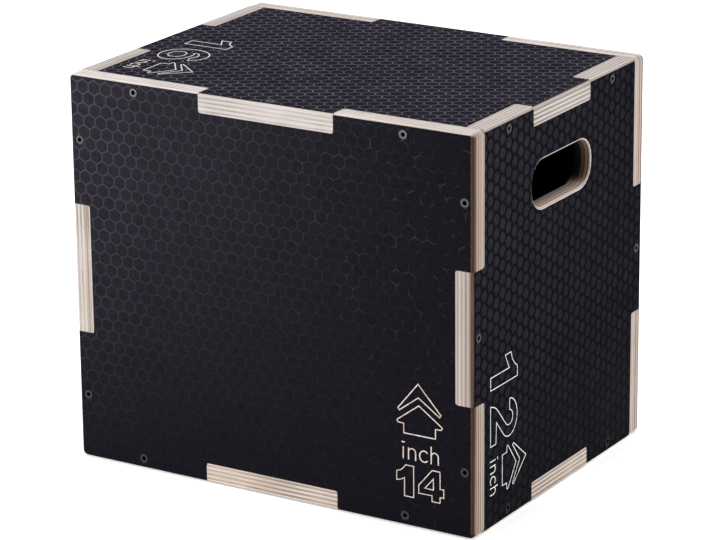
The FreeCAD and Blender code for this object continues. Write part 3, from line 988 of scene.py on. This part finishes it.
def burnt(tree, wood, fibre, cross_fibre):
    """Wood with router burn, which is golden high on a wall; on the front, dark near the face, near black
    towards the left, and dark at the foot.
    """
    golden = tree.mix(tree.ramp(tree.above, -tree.half_up, tree.half_up), LOW_BURN, HIGH_BURN)
    burn = tree.mix(tree.ramp(cross_fibre, start=0.3, end=0.65), BURN_STREAK, golden)
    if tree.pair != "front":
        return tree.mix(burn_mask(tree, fibre), wood, burn)
    burn = tree.mix(tree.ramp(tree.depth, *FACE_BURN_SPAN_MM), FACE_BURN, burn)
    rightwards = tree.ramp(tree.beside, -tree.half_across / 2, tree.half_across / 2)
    burn = tree.mix(rightwards, LEFT_EDGE_DARK, burn)
    wood = tree.mix(burn_mask(tree, fibre), wood, burn)
    foot = tree.ramp(tree.above, *[height - tree.half_up for height in FOOT_HEIGHTS_MM])
    return tree.mix(tree.times(foot, tree.ramp(tree.depth, *FOOT_BURN_SPAN_MM)), wood, FOOT_DARK)


def ply_material(wall):
    """Crossed veneers with glue lines, seen on every edge, and router burn on the rounded box edges."""
    tree = WallTree(wall, "birch_ply")
    fibre, cross_fibre = [
        tree.noise(scale=FIBRE_SCALE, detail=4.0, stretch=stretched(direction, FIBRE_STRETCH, 1.0))
        for direction in (tree.facing.across, tree.facing.up)
    ]
    patch = tree.noise(scale=22.0)
    wood, crossed = veneers(tree, fibre, cross_fibre, patch)
    wood = ENDS[tree.pair](tree, wood, crossed)
    wood = burnt(tree, wood, fibre, cross_fibre)
    grain = tree.math("ADD", fibre, tree.times(cross_fibre, CROSS_GRAIN))
    tree.bump(grain, strength=0.25, distance=COARSE_GRAIN)
    return tree.finish(wood, roughness=tree.ramp(patch, *NOISE_SPAN, low=0.55, high=0.7), specular=0.1)


# Smooth inner film and bare face veneer

INNER_FILM = (rgb(22, 18, 17), rgb(34, 28, 26))
# Face veneer laid open by the cut lines, dark grain first and pale grain second
CUT_LINE_COLOURS = {
    "front": (rgb(194, 180, 168), rgb(218, 207, 197)),
    "right": (rgb(224, 222, 219), rgb(247, 246, 244)),
    "top": (rgb(178, 175, 173), rgb(206, 203, 202)),
}
CUT_LINE_SCORCH = rgb(160, 126, 98)
SCORCH_AMOUNTS = {"front": 0.55, "right": 0.25, "top": 0.25}
SANDED_RIM = (rgb(192, 188, 182), rgb(216, 213, 208))


def inner_film_material():
    """Smooth brown-black phenolic film with a faint grain."""
    tree = Tree("smooth_film")
    cloud = tree.noise(scale=18.0, detail=4.0)
    grain = tree.noise(scale=700.0, detail=2.0, stretch=(1, 1, 0.05))
    tree.bump(grain, strength=0.15, distance=FINE_GRAIN)
    roughness = tree.ramp(grain, *NOISE_SPAN, low=0.35, high=0.5)
    return tree.finish(tree.blend(cloud, INNER_FILM), roughness, specular=0.3)


def cut_line_material(wall):
    """Bare face veneer in the cut lines, scorched here and there by the cutter."""
    tree = Tree(f"{wall}_cut_line_wood")
    grain = tree.noise(scale=800.0, stretch=(0.05, 1, 1))
    pale = tree.blend(grain, CUT_LINE_COLOURS[wall])
    scorch = tree.noise(scale=120.0)
    colour = tree.tint(pale, CUT_LINE_SCORCH, scorch, start=0.48, end=0.7, amount=SCORCH_AMOUNTS[wall])
    tree.bump(grain, strength=0.2, distance=FINE_GRAIN)
    return tree.finish(colour, roughness=tree.ramp(grain, *NOISE_SPAN, low=0.6, high=0.75), specular=0.2)


def slot_rim_material():
    """Pale wood sanded smooth round the hand slots."""
    tree = Tree("sanded_rim_wood")
    grain = tree.noise(scale=500.0, stretch=(1, 0.1, 0.1))
    tree.bump(grain, strength=0.1, distance=FINE_GRAIN)
    roughness = tree.ramp(grain, *NOISE_SPAN, low=0.5, high=0.65)
    return tree.finish(tree.blend(grain, SANDED_RIM), roughness, specular=0.3)


# Screws

# How deep the painted sheen and wear on a head's face reaches, and where its rim, painted darker as shade of
# its rounded edge, begins and is full, in halves of the head
HEAD_SHEEN_AND_WEAR_MM = (0.5, 0.9)
HEAD_RIM = (0.76, 0.92)
# Painted sheen and wear of the screw heads, lit and shaded copies for each wall: low and high on a wall,
# where it changes between them, in halves of the wall from its middle up, and the rim painted darker as shade
Head = namedtuple("Head", "low high start end rim")
HEAD_SHEENS_AND_WEAR = {
    "front": Head(rgb(66, 66, 68), rgb(112, 112, 114), 0.25, 1.0, rgb(14, 14, 15)),
    "right": Head(rgb(44, 44, 46), rgb(84, 84, 86), -0.9, 0.0, rgb(14, 14, 15)),
    "top": Head(rgb(102, 100, 104), rgb(60, 59, 62), -1.0, 1.0, rgb(1, 1, 1)),
}
HEAD_PIT = rgb(18, 18, 19)
BLACK_STEEL = rgb(5, 5, 6)


def head_rim_mask(tree):
    """The outer rim of a screw head, painted darker as shade of its rounded edge, from the place of a point
    in the screw's own box.
    """
    box = tree.nodes.new("ShaderNodeTexCoord").outputs["Generated"]
    centred = tree.vector("SUBTRACT", box, (0.5, 0.5, 0.5))
    flat = tree.vector("MULTIPLY", centred, stretched(tree.facing.out, 0.0, 2.0))
    return tree.ramp(tree.vector("LENGTH", flat), *HEAD_RIM)


def screw_material(wall):
    """Black coated steel, with a painted grey sheen and wear on the head's flat face that is lighter or
    darker by height on each wall, and a rim painted darker as shade.
    """
    tree = WallTree(wall, "black_steel")
    head = HEAD_SHEENS_AND_WEAR[tree.pair]
    speck = tree.noise(scale=1800.0)
    patch = tree.noise(scale=260.0, detail=2.0)
    # Painted sheen and wear on the head's face, lit and shaded by height on each wall, with a rim painted
    # darker as shade
    worn = tree.tint(head.low, head.high, tree.above, tree.half_up * head.start, tree.half_up * head.end)
    worn = tree.mix(head_rim_mask(tree), worn, head.rim)
    worn = tree.tint(worn, HEAD_PIT, speck, start=0.55, end=0.4, amount=0.5)
    colour = tree.tint(worn, BLACK_STEEL, tree.depth, *HEAD_SHEEN_AND_WEAR_MM)
    tree.bump(speck, strength=0.2, distance=FINE_GRAIN)
    return tree.finish(colour, roughness=tree.ramp(patch, *NOISE_SPAN, low=0.4, high=0.55), specular=0.02)


# The box

for wall in MARKS:
    make_cut_lines(wall, cut_line_material(wall))
rim_wood = slot_rim_material()
smooth_film = inner_film_material()
for wall in WALLS:
    wood = ply_material(wall)
    make_film(wall, wood, rim_wood)
    dress(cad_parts[f"{wall}_panel"].data, wood)
    dress(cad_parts[f"{wall}_inner_film"].data, smooth_film)
    steel = screw_material(wall)
    for name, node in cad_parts.items():
        if name.startswith(f"{wall}_screw_"):
            dress(node.data, steel)


# Floor, light and camera

FLOOR_SIDE = 14.0
FLOOR_GAP = 0.0005
FLOOR_GLOW = 0.35
FLOOR_COLOURS = (rgb(246, 246, 246), rgb(250, 250, 250))
WHITE = (1.0, 1.0, 1.0, 1.0)
SKY = (1.0, 0.97, 0.94, 1.0)
SKY_STRENGTH = 0.07
# Place, aim, side and power of each area light
LIGHTS = {
    "overhead": ((0.2, 0.1, 3.4), (0, 0, 0), 3.0, 125.0),
    "key": ((-1.7, -1.6, 1.2), (0, 0, 0.15), 1.1, 36.0),
    "low_fill": ((-1.5, -1.6, 0.28), (0, -0.15, 0.15), 0.5, 17.0),
    "side_fill": ((2.3, 1.3, 0.62), (0.2, 0, 0.12), 1.0, 38.0),
    "back": ((-1.3, 2.0, 2.3), (0, 0, 0.35), 1.2, 24.0),
}
# The camera's turn, in degrees, and its focal length in pixels of an image of this width
CAMERA_PLACE = Vector((1.5573, -2.5355, 1.1272))
CAMERA_AZIMUTH = 31.603
CAMERA_ELEVATION = 17.923
CAMERA_ROLL = -0.5835
SENSOR_MM = 36.0
IMAGE_WIDTH = 716
FOCAL_PIXELS = 3492.9


def make_floor():
    mesh = bmesh.new()
    bmesh.ops.create_grid(mesh, x_segments=4, y_segments=4, size=FLOOR_SIDE / 2)
    floor = new_object("floor", mesh, Matrix.Translation((0, 0, -FLOOR_GAP)))
    tree = Tree("pale_floor")
    colour = tree.mix(tree.noise(scale=3.0, detail=2.0), *FLOOR_COLOURS)
    tree.shader.inputs["Emission Color"].default_value = WHITE
    tree.shader.inputs["Emission Strength"].default_value = FLOOR_GLOW
    floor.data.materials.append(tree.finish(colour, roughness=0.8, specular=0.1))


def area_light(name, place, aim, side, power):
    lamp = bpy.data.lights.new(name, "AREA")
    lamp.shape = "SQUARE"
    lamp.size = side
    lamp.energy = power
    light = bpy.data.objects.new(name, lamp)
    light.location = place
    light.rotation_euler = (Vector(aim) - Vector(place)).to_track_quat("-Z", "Y").to_euler()
    bpy.context.scene.collection.objects.link(light)


def make_light():
    world = bpy.data.worlds.new("studio")
    world.use_nodes = True
    background = world.node_tree.nodes["Background"]
    background.inputs["Color"].default_value = SKY
    background.inputs["Strength"].default_value = SKY_STRENGTH
    bpy.context.scene.world = world
    for name, setting in LIGHTS.items():
        area_light(name, *setting)


def make_camera():
    azimuth = math.radians(CAMERA_AZIMUTH)
    elevation = math.radians(CAMERA_ELEVATION)
    roll = math.radians(CAMERA_ROLL)
    back = Vector((
        math.sin(azimuth) * math.cos(elevation),
        -math.cos(azimuth) * math.cos(elevation),
        math.sin(elevation),
    ))
    level = Vector((math.cos(azimuth), math.sin(azimuth), 0))
    above = back.cross(level)
    right = level * math.cos(roll) + above * math.sin(roll)
    turn = Matrix((right, back.cross(right), back)).transposed().to_4x4()
    data = bpy.data.cameras.new("camera")
    data.sensor_fit = "HORIZONTAL"
    data.sensor_width = SENSOR_MM
    data.lens = FOCAL_PIXELS / IMAGE_WIDTH * SENSOR_MM
    camera = bpy.data.objects.new("camera", data)
    camera.matrix_world = Matrix.Translation(CAMERA_PLACE) @ turn
    bpy.context.scene.collection.objects.link(camera)
    bpy.context.scene.camera = camera


make_floor()
make_light()
make_camera()
bpy.context.scene.view_settings.view_transform = "Standard"
